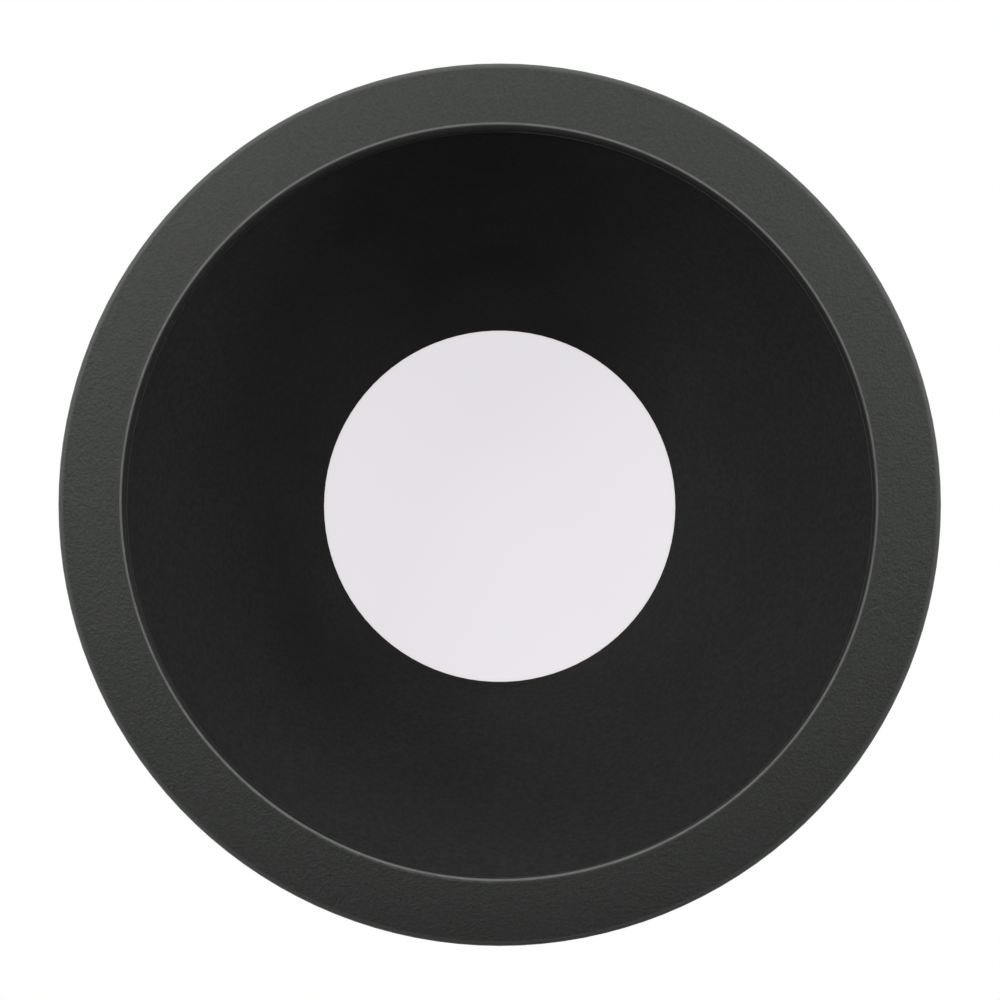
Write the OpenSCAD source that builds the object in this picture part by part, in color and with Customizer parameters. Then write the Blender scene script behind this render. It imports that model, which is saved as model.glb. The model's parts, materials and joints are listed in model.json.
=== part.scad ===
// Recessed soffit downlight: bevelled trim ring, deep black baffle, opal lens,
// finned heat sink with its driver case on top, and two sprung clips.
// The origin is on the lamp's axis in the plane of the soffit. +Z points up
// into the roof, the face looks down along -Z, and the clips are at +X and -X.
// Millimetres.

/* [Face] */
// Diameter of the hole in the soffit
cutout_d = 95; // [93:0.5:100]
// Radial room between the hole and the collar that goes through it
cutout_gap = 0.6; // [0.4:0.1:1.2]
// Width of the flange beyond the edge of the collar
flange_w = 8.1; // [7.8:0.1:12]
// Thickness of the flange at its outer edge
edge_t = 1.8; // [1.4:0.1:2.6]
// Radius that rounds the outer edge
edge_r = 0.75; // [0.5:0.05:0.85]
// Height of the bevel from the outer edge to the crest
bevel_h = 2.7; // [1.8:0.1:4]
// How far the bevel bulges above a straight slope
bevel_bulge = 0.18; // [0.1:0.02:0.3]
// Radius of the crest at the flange's inner edge
lip_r = 0.6; // [0.4:0.05:0.65]
// Height of the baffle's seat above the crest
seat_h = 1.2; // [1:0.1:1.6]
// Thickness of the foam gasket behind the flange
gasket_t = 1.2; // [0.8:0.1:2]
// Width of the foam gasket
gasket_w = 6; // [4:0.5:6.5]
// Height of the collar's full-width part above the soffit
collar_h = 4; // [3:0.5:4.5]
// Height of the collar's narrower part that holds the heat sink
socket_h = 6.6; // [6.2:0.1:7]
// Wall of the collar's narrower part
socket_wall = 1.8; // [1.6:0.1:2]

/* [Baffle] */
// Diameter of the opening at the deep end of the baffle
aperture_d = 46; // [42:1:48]
// Depth of the baffle from the crest to the opening
baffle_depth = 44.2; // [42:0.2:52]
// Wall thickness of the baffle
baffle_wall = 1; // [0.8:0.1:1.2]

/* [Light source] */
// Width of the ledge that the lens sits on
lens_ledge = 3.4; // [2.6:0.2:4.2]
// Thickness of the opal lens
lens_t = 2; // [1.5:0.1:3]
// Thickness of the lens seal
seal_t = 0.6; // [0.4:0.1:1.2]
// Height of the white light chamber behind the lens
chamber_h = 7.2; // [6.6:0.2:12]
// Wall thickness of the light chamber
chamber_wall = 1.2; // [0.8:0.1:1.2]
// Thickness of the LED board
led_board_t = 1.6; // [1:0.1:2]
// Thickness of the thermal pad
pad_t = 0.4; // [0.3:0.1:0.8]

/* [Heat sink] */
// Wall thickness of the heat sink's skirt
skirt_wall = 2; // [1.6:0.1:2]
// Thickness of the plate that carries the LED board
plate_t = 3.5; // [3:0.1:6]
// Number of fin places round the heat sink
fin_count = 30; // [24:2:36]
// Thickness of a fin at its root
fin_root_t = 2; // [1.6:0.1:2.6]
// Thickness of a fin at its tip
fin_tip_t = 1.3; // [1:0.1:1.8]
// Height of the fins above the plate
fin_rise = 4.2; // [3:0.1:8]
// Radius of the fins' upper outer corner
fin_corner_r = 9; // [6:0.5:11]
// Radius of the fillets between the fins and the core
fin_fillet_r = 1.2; // [0.6:0.1:1.4]
// Radius of the fillet between the skirt and the core
core_fillet_r = 8; // [4:0.5:12]

/* [Driver case] */
// Outside diameter of the driver case
case_d = 64; // [62:0.5:68]
// Height of the driver case without its cover
case_h = 17.6; // [17:0.1:24]
// Wall thickness of the driver case
case_wall = 1.8; // [1.5:0.1:2.2]
// Thickness of the cover
cover_t = 2.8; // [2.4:0.1:3.6]

/* [Clips] */
// Height of the clip's hinge above the soffit
hinge_z = 22.5; // [22:0.1:24]
// Length of the clip arm from its hinge
arm_l = 20.8; // [18:0.1:20.8]
// Width of the clip arm
arm_w = 14.2; // [13:0.1:15]
// Thickness of the clip's sheet steel
sheet_t = 1; // [0.8:0.05:1.2]
// Slope of the arm below level while the clip rests on its stop
arm_slope = 48; // [46:0.5:48]
// Wire diameter of the torsion spring
wire_d = 1; // [0.8:0.05:1.1]
// Number of full turns in the torsion spring
spring_turns = 4; // [3:1:5]

/* [Cable gland] */
// Diameter of the cable that the gland grips
cable_d = 7; // [5:0.1:7.4]

/* [Hidden] */
$fn = 96;
EPS = 0.01;

// Clearances
fit_gap = 0.1;          // between pieces that locate each other
slip_gap = 0.2;         // between pieces that slip together
air_gap = 0.5;          // between the baffle and the heat sink
hinge_gap = 0.3;        // between the clip's ears
fold_gap = 0.5;         // inside the collar's radius for the folded clip

// Face, from the soffit down to the crest
collar_r = cutout_d / 2 - cutout_gap;
flange_r = collar_r + flange_w;
back_z = -gasket_t;
edge_z = back_z - edge_t;
crest_z = edge_z - bevel_h;
socket_r = collar_r - 0.8;
socket_in_r = socket_r - socket_wall;
socket_top = collar_h + socket_h;
notch_w = arm_w + 6.2;
gasket_in_r = collar_r + 0.9;

// Baffle: a straight cone from the lip to the aperture
mouth_z = crest_z + seat_h;
mouth_r = collar_r - lip_r;
aperture_r = aperture_d / 2;
aperture_z = crest_z + baffle_depth;
cone_tan = (mouth_r - aperture_r) / (aperture_z - mouth_z);
cone_dr = baffle_wall * sqrt(1 + cone_tan * cone_tan);
function cone_in(z) = mouth_r - (z - mouth_z) * cone_tan;
function cone_out(z) = cone_in(z) + cone_dr;

// Stack behind the aperture
ledge_t = 1.5;
lens_r = aperture_r + lens_ledge;
rim_in_r = lens_r + 0.3;
rim_out_r = rim_in_r + 1.2;
seal_z = aperture_z + ledge_t;
lens_z = seal_z + seal_t;
chamber_z = lens_z + lens_t;
board_z = chamber_z + chamber_h;
pad_z = board_z + led_board_t;
plate_z = pad_z + pad_t;
plate_top = plate_z + plate_t;

// Heat sink
pocket_r = rim_out_r + air_gap;
pocket_z = mouth_z + (mouth_r + cone_dr + air_gap - pocket_r) / cone_tan;
skirt_dr = skirt_wall * sqrt(1 + cone_tan * cone_tan);
shell_r = pocket_r + skirt_dr;
rim_r = socket_in_r - slip_gap;
fin_r = collar_r - 1.5;
fin_top = plate_top + fin_rise;
wire_hole_r = 3;
fillet_steps = 4;

// Driver case
case_r = case_d / 2;
case_in_r = case_r - case_wall;
floor_t = 2;
case_top = plate_top + case_h;
driver_board_t = 1.6;
locating_h = 2.2;                       // the cover's ring reaches down to the board
driver_board_z = case_top - locating_h - driver_board_t;
driver_board_r = case_in_r - 0.3;
ledge_in_r = driver_board_r - 1.2;      // the board's ledge inside the case
cover_top = case_top + cover_t;
cover_boss_r = 3;
cover_boss_at = ledge_in_r - cover_boss_r + 0.3;
seam = 0.35;                            // chamfer on each side of the joint of case and cover
seal_out_r = case_r - seam - 0.4;
seal_in_r = case_in_r + 0.2;
screw_sink = 0.5;                       // the cover's screws sit this deep in their pockets
terminal = [8, 7, 8.5];
screw_angles = [90, 210, 330];
case_angles = [30, 150, 270];
case_screw_at = 20;

// Screws: [shank radius, length, head radius, head height]
m3 = [1.5, 6, 2.8, 2];
m25 = [1.25, 4.5, 2.2, 1.7];
tap_r = 1.5;                            // tapped holes, at the thread's outside
trim_screw_z = collar_h + 0.4 + m3[2];
trim_screw_l = 4;
board_screw_at = lens_r - 1.2;
board_screw_l = led_board_t + pad_t + 2;

// Clips, drawn at +X. The folded clip fits inside the collar's radius.
coil_r = 2.3;
wire_r = wire_d / 2;
pin_r = 1.25;
web_in = coil_r + wire_r + fit_gap;     // web of the arm, outside the coil
foot_t = 2.6;
foot_l = 7;
foot_over = 0.7;
foot_w = arm_w + 1;
foot_face = web_in + sheet_t / 2 + foot_t / 2;
hinge_x = sqrt(pow(collar_r - fold_gap, 2) - pow(foot_w / 2, 2)) - foot_face;
bracket_t = 1.2;
plate_face = hinge_x - coil_r - wire_r - 0.05;
pad_x = plate_face - bracket_t;         // flat seat of the bracket
seat_z = hinge_z - 2.2;                 // bottom of that seat
ear_out = arm_w / 2;
bracket_ear_in = ear_out + hinge_gap;
bracket_h = 22.7;
bracket_screw_y = 4.3;
bracket_screw_z = seat_z + bracket_h - 4.5;
clip_zone = 2.4 + asin(notch_w / 2 / fin_r);   // no fin within this angle of a clip
fold_angle = 90 + arm_slope;

// Cable gland, drawn along -Y
gland_z = plate_top + case_h - 8.1;
gland_face = case_r + 2;
thread_r = 5.9;
bore_r = 4.2;
flange_t = 3;
stub_l = 5;
nut_r = 7.4;
nut_l = 9;
gland_w = 2 * (nut_r + 1.2);            // block of the case that the gland screws into

// LED packages: [radius of the ring, number]
led_rings = [[8, 6], [16, 12]];

module ring(r_out, r_in, z0, z1) {
    translate([0, 0, z0])
        difference() {
            cylinder(r = r_out, h = z1 - z0);
            translate([0, 0, -1]) cylinder(r = r_in, h = z1 - z0 + 2);
        }
}

module around(angles, r) {
    for (a = angles) rotate([0, 0, a]) translate([r, 0, 0]) children();
}

// A rectangle with rounded corners, centred
module rounded(w, h, r) {
    square([w - 2 * r, h], center = true);
    square([w, h - 2 * r], center = true);
    for (x = [-1, 1], y = [-1, 1])
        translate([x * (w / 2 - r), y * (h / 2 - r)]) circle(r = r);
}

// A rounded-top screw whose head sits on z = 0 and whose shank points down
module pan_screw(s) {
    recess_w = s[2] * 0.24;
    difference() {
        union() {
            translate([0, 0, -s[1]]) cylinder(r = s[0], h = s[1] + EPS);
            rotate_extrude()
                intersection() {
                    square([s[2], s[3]]);
                    translate([0, s[3] - s[2] * 1.25]) circle(r = s[2] * 1.25);
                }
        }
        for (a = [0, 90])
            rotate([0, 0, a])
                translate([-s[2] * 0.62, -recess_w / 2, s[3] * 0.4])
                    cube([s[2] * 1.24, recess_w, s[3]]);
    }
}

// A countersunk screw whose flat head is at z = 0 and whose shank points down
module flat_screw(s, length) {
    recess_w = s[2] * 0.24;
    sink_h = s[2] - s[0];
    difference() {
        union() {
            translate([0, 0, -sink_h]) cylinder(r1 = s[0], r2 = s[2], h = sink_h);
            translate([0, 0, -length]) cylinder(r = s[0], h = length - sink_h + EPS);
        }
        for (a = [0, 90])
            rotate([0, 0, a])
                translate([-s[2] * 0.6, -recess_w / 2, -0.9])
                    cube([s[2] * 1.2, recess_w, 1]);
    }
}

// ---- face ----

// Half section of the flange. The bevel is an arc that runs smoothly into the
// round of the crest at one end and the round of the outer edge at the other.
module flange_section() {
    crest = [collar_r, crest_z + lip_r];
    edge = [flange_r - edge_r, edge_z + edge_r];
    back_chamfer = 0.3;
    span = norm(edge - crest);
    bevel_r = span * span / (8 * bevel_bulge) + bevel_bulge / 2;
    // The bevel's centre, from its distances to the two rounds' centres
    to_crest = bevel_r - lip_r;
    to_edge = bevel_r - edge_r;
    along = (to_crest * to_crest - to_edge * to_edge + span * span) / (2 * span);
    u = (edge - crest) / span;
    centre = crest + along * u + sqrt(to_crest * to_crest - along * along) * [-u[1], u[0]];
    crest_out = (crest - centre) / to_crest;
    edge_out = (edge - centre) / to_edge;
    intersection() {
        translate(centre) circle(r = bevel_r, $fn = 720);
        polygon([crest, crest + crest_out, edge + edge_out, edge]);
    }
    translate(crest) circle(r = lip_r);
    translate(edge) circle(r = edge_r);
    polygon([
        [collar_r - lip_r, crest[1]], crest, edge, [flange_r, edge[1]],
        [flange_r, back_z - back_chamfer], [flange_r - back_chamfer, back_z],
        [collar_r - lip_r, back_z]
    ]);
}

// Everything the baffle takes up inside the trim ring, with its clearance
module baffle_room() {
    top = socket_top + 1;
    rotate_extrude()
        polygon([
            [0, mouth_z], [cone_out(mouth_z) + fit_gap, mouth_z],
            [cone_out(top) + fit_gap, top], [0, top]
        ]);
}

module trim_ring() {
    sink_h = m3[2] - m3[0];
    color([0.13, 0.135, 0.13])
        difference() {
            union() {
                rotate_extrude() flange_section();
                ring(collar_r, aperture_r, mouth_z, collar_h);
                ring(socket_r, socket_in_r, collar_h - EPS, socket_top);
            }
            baffle_room();
            translate([-flange_r, -notch_w / 2, collar_h])
                cube([2 * flange_r, notch_w, socket_h + 1]);
            around(screw_angles, 0)
                translate([socket_r - 0.1, 0, trim_screw_z])
                    rotate([0, 90, 0]) {
                        translate([0, 0, -socket_wall - 1])
                            cylinder(r = m3[0] + slip_gap, h = socket_wall + 3);
                        translate([0, 0, -sink_h]) cylinder(r1 = m3[0], r2 = m3[2], h = sink_h);
                        cylinder(r = m3[2], h = 1);
                    }
        }
}

module soffit_gasket() {
    color([0.2, 0.2, 0.2])
        ring(gasket_in_r + gasket_w, gasket_in_r, back_z, 0);
}

module trim_screws() {
    color([0.25, 0.25, 0.26])
        around(screw_angles, socket_r - 0.1)
            translate([0, 0, trim_screw_z]) rotate([0, 90, 0]) flat_screw(m3, trim_screw_l);
}

// Baffle: cone, ledge for the lens and the rim that centres it
module baffle_cone() {
    foot_z = aperture_z - 0.6;
    color([0.06, 0.06, 0.062])
        rotate_extrude()
            polygon([
                [mouth_r, mouth_z], [cone_out(mouth_z), mouth_z],
                [cone_out(foot_z), foot_z], [rim_out_r, foot_z + 0.9],
                [rim_out_r, lens_z + lens_t - fit_gap], [rim_in_r, lens_z + lens_t - fit_gap],
                [rim_in_r, seal_z], [aperture_r, seal_z], [aperture_r, aperture_z]
            ]);
}

// ---- light source ----

module lens_seal() {
    color([0.85, 0.85, 0.83])
        ring(lens_r - 0.2, aperture_r + 0.8, seal_z, lens_z);
}

module lens() {
    chamfer = 0.3;
    color([0.9, 0.89, 0.91])
        rotate_extrude()
            polygon([
                [0, lens_z], [lens_r - chamfer, lens_z], [lens_r, lens_z + chamfer],
                [lens_r, lens_z + lens_t], [0, lens_z + lens_t]
            ]);
}

// White reflector that narrows from the lens to the LED board
module light_chamber() {
    wide = aperture_r + 1.2;
    narrow = aperture_r - 2.4;
    lip_t = 1.4;
    slope = (wide - narrow) / chamber_h;
    color([0.95, 0.95, 0.94])
        rotate_extrude()
            polygon([
                [wide, chamber_z], [lens_r, chamber_z], [lens_r, chamber_z + lip_t],
                [wide - slope * lip_t + chamber_wall, chamber_z + lip_t],
                [narrow + chamber_wall, board_z], [narrow, board_z]
            ]);
}

module led_board() {
    color([0.93, 0.93, 0.92])
        difference() {
            translate([0, 0, board_z]) cylinder(r = pocket_r - air_gap, h = led_board_t);
            around(screw_angles, board_screw_at)
                translate([0, 0, board_z - 1]) cylinder(r = m25[0] + slip_gap, h = led_board_t + 2);
            translate([0, 0, board_z - 1]) cylinder(r = wire_hole_r - 0.6, h = led_board_t + 2);
        }
}

// Each package is a tray with its emitting face proud of it, looking down
module led_chips() {
    chip = [2.8, 3.5, 0.7];
    window = [2.2, 2.7, 0.15];
    color([0.95, 0.8, 0.35])
        for (set = led_rings)
            for (i = [0 : set[1] - 1])
                rotate([0, 0, (i + 0.5) * 360 / set[1]])
                    translate([set[0], 0, board_z]) {
                        translate([-chip[0] / 2, -chip[1] / 2, -chip[2]]) cube(chip);
                        translate([-window[0] / 2, -window[1] / 2, -chip[2] - window[2] + EPS])
                            cube(window);
                    }
}

module board_screws() {
    color([0.7, 0.7, 0.72])
        around(screw_angles, board_screw_at)
            translate([0, 0, board_z])
                rotate([180, 0, 0]) pan_screw([m25[0], board_screw_l, m25[2], m25[3]]);
}

module thermal_pad() {
    color([0.55, 0.6, 0.65])
        ring(board_screw_at - m25[2], wire_hole_r, pad_z, plate_z);
}

// ---- heat sink ----

// Outside of the heat sink's body, filled to the axis, with a fillet where
// the skirt runs into the core
module sink_outside() {
    turn = atan(cone_tan);
    start_z = pocket_z + core_fillet_r * tan(turn / 2);
    rotate_extrude()
        polygon([
            [0, collar_h], [rim_r, collar_h], [rim_r, socket_top],
            [cone_out(socket_top) + air_gap + skirt_dr, socket_top],
            for (i = [fillet_steps : -1 : 0])
                let (a = turn * i / fillet_steps)
                    [shell_r + core_fillet_r * (1 - cos(a)), start_z - core_fillet_r * sin(a)],
            [shell_r, plate_top], [0, plate_top]
        ]);
}

// The hollow that holds the baffle and the light source
module sink_inside() {
    low = collar_h - 1;
    rotate_extrude()
        polygon([
            [0, low], [cone_out(low) + air_gap, low],
            [pocket_r, pocket_z], [pocket_r, plate_z], [0, plate_z]
        ]);
}

// Half section that the fins are cut to: round shoulder, and room for the
// case above and for the trim ring's socket below
module fin_section() {
    difference() {
        union() {
            translate([0, socket_top - EPS])
                square([fin_r - fin_corner_r, fin_top - socket_top + EPS]);
            translate([0, socket_top - EPS])
                square([fin_r, fin_top - fin_corner_r - socket_top + EPS]);
            translate([fin_r - fin_corner_r, fin_top - fin_corner_r])
                circle(r = fin_corner_r);
        }
        translate([-fin_r, socket_top - 2 * fin_corner_r - 1])
            square([fin_r, fin_top + 2 * fin_corner_r]);
        translate([-1, plate_top]) square([case_r + 2.2, fin_rise + 1]);
        translate([rim_r, socket_top - 1]) square([fin_r, 1 + slip_gap]);
    }
}

// One side of a fin seen from above, with the fillet at the core
function fin_side() =
    let (
        half = fin_root_t / 2,
        wide = half + fin_fillet_r,
        start = sqrt(pow(shell_r, 2) - pow(wide, 2)) - EPS
    ) [
        [pocket_r - 4, wide],
        for (i = [0 : fillet_steps])
            let (a = 90 * i / fillet_steps)
                [start + fin_fillet_r * (1 - cos(a)), wide - fin_fillet_r * sin(a)],
        [fin_r + 1, fin_tip_t / 2]
    ];

// One tapered fin seen from above, for each place that no clip needs
module fin_plan() {
    side = fin_side();
    other_side = [for (i = [len(side) - 1 : -1 : 0]) [side[i][0], -side[i][1]]];
    for (i = [0 : fin_count - 1])
        let (a = i * 360 / fin_count, off = min(abs(a % 180), 180 - abs(a % 180)))
            if (off > clip_zone)
                rotate([0, 0, a]) polygon(concat(side, other_side));
}

module fins() {
    intersection() {
        translate([0, 0, socket_top - 1])
            linear_extrude(height = fin_top - socket_top + 2) fin_plan();
        rotate_extrude() fin_section();
    }
}

// Flat seat for a clip bracket: a cast block that narrows outwards
module bracket_seat() {
    half = bracket_ear_in + sheet_t + 1;
    corner = 0.8;
    draft = 1.4;
    top = seat_z + bracket_h + 1;
    intersection() {
        across(0, 4 * half)
            polygon([
                [0, seat_z], [pad_x, seat_z], [pad_x, top - 2], [pad_x - 2, top], [0, top]
            ]);
        translate([0, 0, seat_z - 1])
            linear_extrude(height = bracket_h + 3)
                polygon([
                    [0, -half - draft], [shell_r, -half - draft],
                    [pad_x - corner, -half], [pad_x, corner - half],
                    [pad_x, half - corner], [pad_x - corner, half],
                    [shell_r, half + draft], [0, half + draft]
                ]);
    }
}

module heat_sink() {
    color([0.72, 0.73, 0.74])
        difference() {
            union() {
                sink_outside();
                fins();
                for (side = [0, 180]) rotate([0, 0, side]) bracket_seat();
            }
            sink_inside();
            // Room for the cable gland above the fins next to it
            translate([-gland_w / 2 - 0.8, -fin_r - 1, gland_z - nut_r - 1])
                cube([gland_w + 1.6, fin_r + 1 - case_r, fin_rise + nut_r]);
            translate([0, 0, plate_z - 1]) cylinder(r = wire_hole_r, h = plate_t + 2);
            around(screw_angles, board_screw_at)
                translate([0, 0, plate_z - 1]) cylinder(r = m25[0], h = 3.4);
            around(case_angles, case_screw_at)
                translate([0, 0, plate_z - 1]) cylinder(r = tap_r, h = plate_t + 2);
            around(screw_angles, 0)
                translate([socket_in_r - 4, 0, trim_screw_z])
                    rotate([0, 90, 0]) cylinder(r = tap_r, h = 6);
            for (side = [0, 180], y = [-1, 1])
                rotate([0, 0, side])
                    translate([pad_x - m3[1], y * bracket_screw_y, bracket_screw_z])
                        rotate([0, 90, 0]) cylinder(r = tap_r, h = m3[1] + 1);
        }
}

// Rubber bush that keeps the leads off the edge of their hole
module wire_grommet() {
    bore = 2.2;
    lip = 0.8;
    color([0.1, 0.1, 0.1])
        rotate_extrude()
            polygon([
                [bore, plate_z], [wire_hole_r, plate_z], [wire_hole_r, plate_top + floor_t],
                [wire_hole_r + lip, plate_top + floor_t],
                [wire_hole_r + lip, plate_top + floor_t + lip],
                [bore, plate_top + floor_t + lip]
            ]);
}

// Three leads from the driver board to pads on the front of the LED board
module led_leads() {
    lead_r = 0.6;
    reach = 4.4;
    tints = ["red", "black", "gold"];
    for (i = [0 : 2])
        color(tints[i])
            rotate([0, 0, 120 * i + 30]) {
                translate([1.1, 0, board_z - 2 * lead_r])
                    cylinder(r = lead_r, h = driver_board_z - board_z + 2 * lead_r);
                translate([1.1 - lead_r, 0, board_z - lead_r])
                    rotate([0, 90, 0]) cylinder(r = lead_r, h = reach);
            }
}

// ---- driver case ----

module along_gland() {
    translate([0, 0, gland_z]) rotate([90, 0, 0]) children();
}

module driver_case() {
    boss_h = case_top - plate_top - EPS;
    color([0.16, 0.165, 0.17])
        difference() {
            union() {
                rotate_extrude()
                    polygon([
                        [0, plate_top], [case_r - 0.8, plate_top], [case_r, plate_top + 0.8],
                        [case_r, case_top - seam], [case_r - seam, case_top], [0, case_top]
                    ]);
                along_gland()
                    linear_extrude(height = gland_face) rounded(gland_w, 2 * nut_r, 2.5);
            }
            difference() {
                rotate_extrude()
                    polygon([
                        [0, plate_top + floor_t], [ledge_in_r, plate_top + floor_t],
                        [ledge_in_r, driver_board_z], [case_in_r, driver_board_z],
                        [case_in_r, case_top + 1], [0, case_top + 1]
                    ]);
                around(screw_angles, cover_boss_at)
                    translate([0, 0, plate_top]) cylinder(r = cover_boss_r, h = boss_h);
            }
            around(screw_angles, cover_boss_at)
                translate([0, 0, case_top - 9]) cylinder(r = m25[0], h = 10);
            around(case_angles, case_screw_at)
                translate([0, 0, plate_top - 1]) cylinder(r = m3[0] + slip_gap, h = floor_t + 2);
            translate([0, 0, plate_top - 1]) cylinder(r = wire_hole_r, h = floor_t + 2);
            translate([0, 0, gland_z])
                rotate([90, 0, 0])
                    translate([0, 0, ledge_in_r - 4]) cylinder(r = thread_r, h = gland_face);
        }
}

module case_screws() {
    color([0.7, 0.7, 0.72])
        around(case_angles, case_screw_at)
            translate([0, 0, plate_top + floor_t]) pan_screw([m3[0], 5, m3[2], m3[3]]);
}

module driver_board() {
    color([0.12, 0.35, 0.2])
        difference() {
            translate([0, 0, driver_board_z]) cylinder(r = driver_board_r, h = driver_board_t);
            around(screw_angles, cover_boss_at)
                translate([0, 0, driver_board_z - 1])
                    cylinder(r = cover_boss_r + slip_gap, h = driver_board_t + 2);
        }
}

// Parts on the driver board hang from its underside
module hang(x, y) {
    translate([x, y, driver_board_z]) mirror([0, 0, 1]) children();
}

module transformer() {
    core = [14, 11, 9];
    coil = [8, 13, 7];
    hang(-4, 14) {
        color([0.25, 0.25, 0.27])
            difference() {
                translate([-core[0] / 2, -core[1] / 2, 0]) cube(core);
                translate([-coil[0] / 2, -core[1] / 2 - 1, 1.5])
                    cube([coil[0], core[1] + 2, core[2] - 3]);
            }
        color("gold")
            translate([-coil[0] / 2, -coil[1] / 2, 1.5])
                cube([coil[0], coil[1], core[2] - 3]);
    }
}

module capacitors() {
    can_r = 4.4;
    film = [5.5, 12, 9];
    color([0.1, 0.12, 0.3]) {
        hang(12, -6) cylinder(r = can_r, h = 10);
        hang(12.5, 3.8) cylinder(r = can_r, h = 10);
    }
    color([0.8, 0.7, 0.2])
        hang(-14, -4) translate([-film[0] / 2, -film[1] / 2, 0]) cube(film);
}

module inductor() {
    color([0.2, 0.2, 0.2])
        hang(-6, -13) {
            cylinder(r = 4, h = 1.2);
            cylinder(r = 2.9, h = 8);
            translate([0, 0, 7]) cylinder(r = 4, h = 1.2);
        }
}

module driver_chips() {
    color([0.08, 0.08, 0.08]) {
        hang(2, 4.5) translate([-2.5, -1.5, 0]) cube([5, 3, 1.5]);
        hang(-5, -4) translate([-3, -2.5, 0]) cube([6, 5, 1.7]);
        hang(4, -12) translate([-2, -2, 0]) cube([4, 4, 1.5]);
    }
}

module mains_terminal() {
    to_ledge = 4.7;
    color([0.9, 0.9, 0.88])
        hang(terminal[0], to_ledge + terminal[1] / 2 - ledge_in_r)
            difference() {
                translate([-terminal[0] / 2, -terminal[1] / 2, 0]) cube(terminal);
                for (x = [-1, 1])
                    translate([x * terminal[0] / 4, -terminal[1] / 2 - 1, terminal[2] / 2])
                        rotate([-90, 0, 0]) cylinder(r = 1.3, h = 4);
            }
}

module cover_seal() {
    color([0.15, 0.15, 0.15])
        ring(seal_out_r, seal_in_r, case_top, case_top + 0.5);
}

// Half section of the cover: round top edge, sunk panel, seal groove and
// locating ring
module cover_section() {
    edge_r = 1.4;
    panel_r = cover_boss_at - m25[2] - 1.6;
    panel_sink = 0.5;
    difference() {
        union() {
            translate([0, case_top]) square([case_r - edge_r, cover_t]);
            polygon([
                [0, case_top], [case_r - seam, case_top], [case_r, case_top + seam],
                [case_r, cover_top - edge_r], [0, cover_top - edge_r]
            ]);
            translate([case_r - edge_r, cover_top - edge_r]) circle(r = edge_r);
        }
        translate([seal_in_r, case_top - 1]) square([seal_out_r - seal_in_r, 1.5]);
        polygon([
            [-1, cover_top - panel_sink], [panel_r - panel_sink, cover_top - panel_sink],
            [panel_r + 1, cover_top + 1], [-1, cover_top + 1]
        ]);
    }
    translate([case_in_r - 1.2, case_top - locating_h])
        square([1.2 - fit_gap, locating_h + EPS]);
}

module driver_cover() {
    sink_h = m25[2] - m25[0];
    color([0.16, 0.165, 0.17])
        difference() {
            rotate_extrude() cover_section();
            around(screw_angles, cover_boss_at) {
                translate([0, 0, case_top - EPS])
                    cylinder(r = m25[0] + slip_gap, h = cover_t + 1);
                translate([0, 0, cover_top - screw_sink - sink_h])
                    cylinder(r1 = m25[0], r2 = m25[2], h = sink_h);
                translate([0, 0, cover_top - screw_sink]) cylinder(r = m25[2] + 0.4, h = 1);
                // The locating ring is cut away round the case's screw boss
                translate([0, 0, case_top - locating_h - 1])
                    cylinder(r = cover_boss_r + 0.3, h = locating_h + 1);
            }
        }
}

module cover_screws() {
    color([0.25, 0.25, 0.26])
        around(screw_angles, cover_boss_at)
            translate([0, 0, cover_top - screw_sink]) flat_screw(m25, 9);
}

// ---- cable gland, along -Y ----

module gland_body() {
    color([0.1, 0.1, 0.1])
        along_gland()
            difference() {
                union() {
                    translate([0, 0, case_in_r])
                        cylinder(r = thread_r, h = gland_face + flange_t + stub_l - case_in_r);
                    translate([0, 0, gland_face]) cylinder(r = nut_r + 0.4, h = flange_t, $fn = 6);
                }
                translate([0, 0, case_in_r - 3]) cylinder(r = bore_r, h = 30);
            }
}

module gland_seal() {
    start = gland_face - 1;
    stub_end = gland_face + flange_t + stub_l;
    color([0.2, 0.2, 0.2])
        along_gland()
            difference() {
                union() {
                    translate([0, 0, start]) cylinder(r = bore_r, h = stub_end - start);
                    translate([0, 0, stub_end]) cylinder(r = bore_r + 1, h = 1);
                }
                translate([0, 0, start - 1]) cylinder(r = cable_d / 2, h = 20);
            }
}

// Domed nut with flats to grip
module gland_nut() {
    start = gland_face + flange_t;
    dome_r = nut_r * 1.25;
    color([0.1, 0.1, 0.1])
        along_gland()
            difference() {
                intersection() {
                    translate([0, 0, start]) cylinder(r = nut_r, h = nut_l, $fn = 12);
                    translate([0, 0, start + nut_l - dome_r]) sphere(r = dome_r);
                }
                translate([0, 0, start - 1]) cylinder(r = thread_r + fit_gap, h = stub_l + 2.1);
                translate([0, 0, start]) cylinder(r = bore_r, h = nut_l + 1);
            }
}

// ---- clips ----

// Places a piece that is drawn at +X on the side that it belongs to
module clip_side(left) {
    rotate([0, 0, left ? 180 : 0]) children();
}

// Sets a piece drawn with the arm upright into its resting slope
module at_hinge() {
    translate([hinge_x, 0, hinge_z]) rotate([0, fold_angle, 0]) children();
}

// Extrudes an outline drawn in X and Z by w along Y, centred on y
module across(y, w) {
    translate([0, y + w / 2, 0]) rotate([90, 0, 0]) linear_extrude(height = w) children();
}

// What a bend in the sheet takes off an outside corner along Z. The corner
// points to +X and +Y before its turn.
module bend(r, turn, h) {
    rotate([0, 0, turn])
        translate([-r, -r, 0])
            linear_extrude(height = h)
                difference() {
                    square(r + 1);
                    circle(r = r);
                }
}

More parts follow.
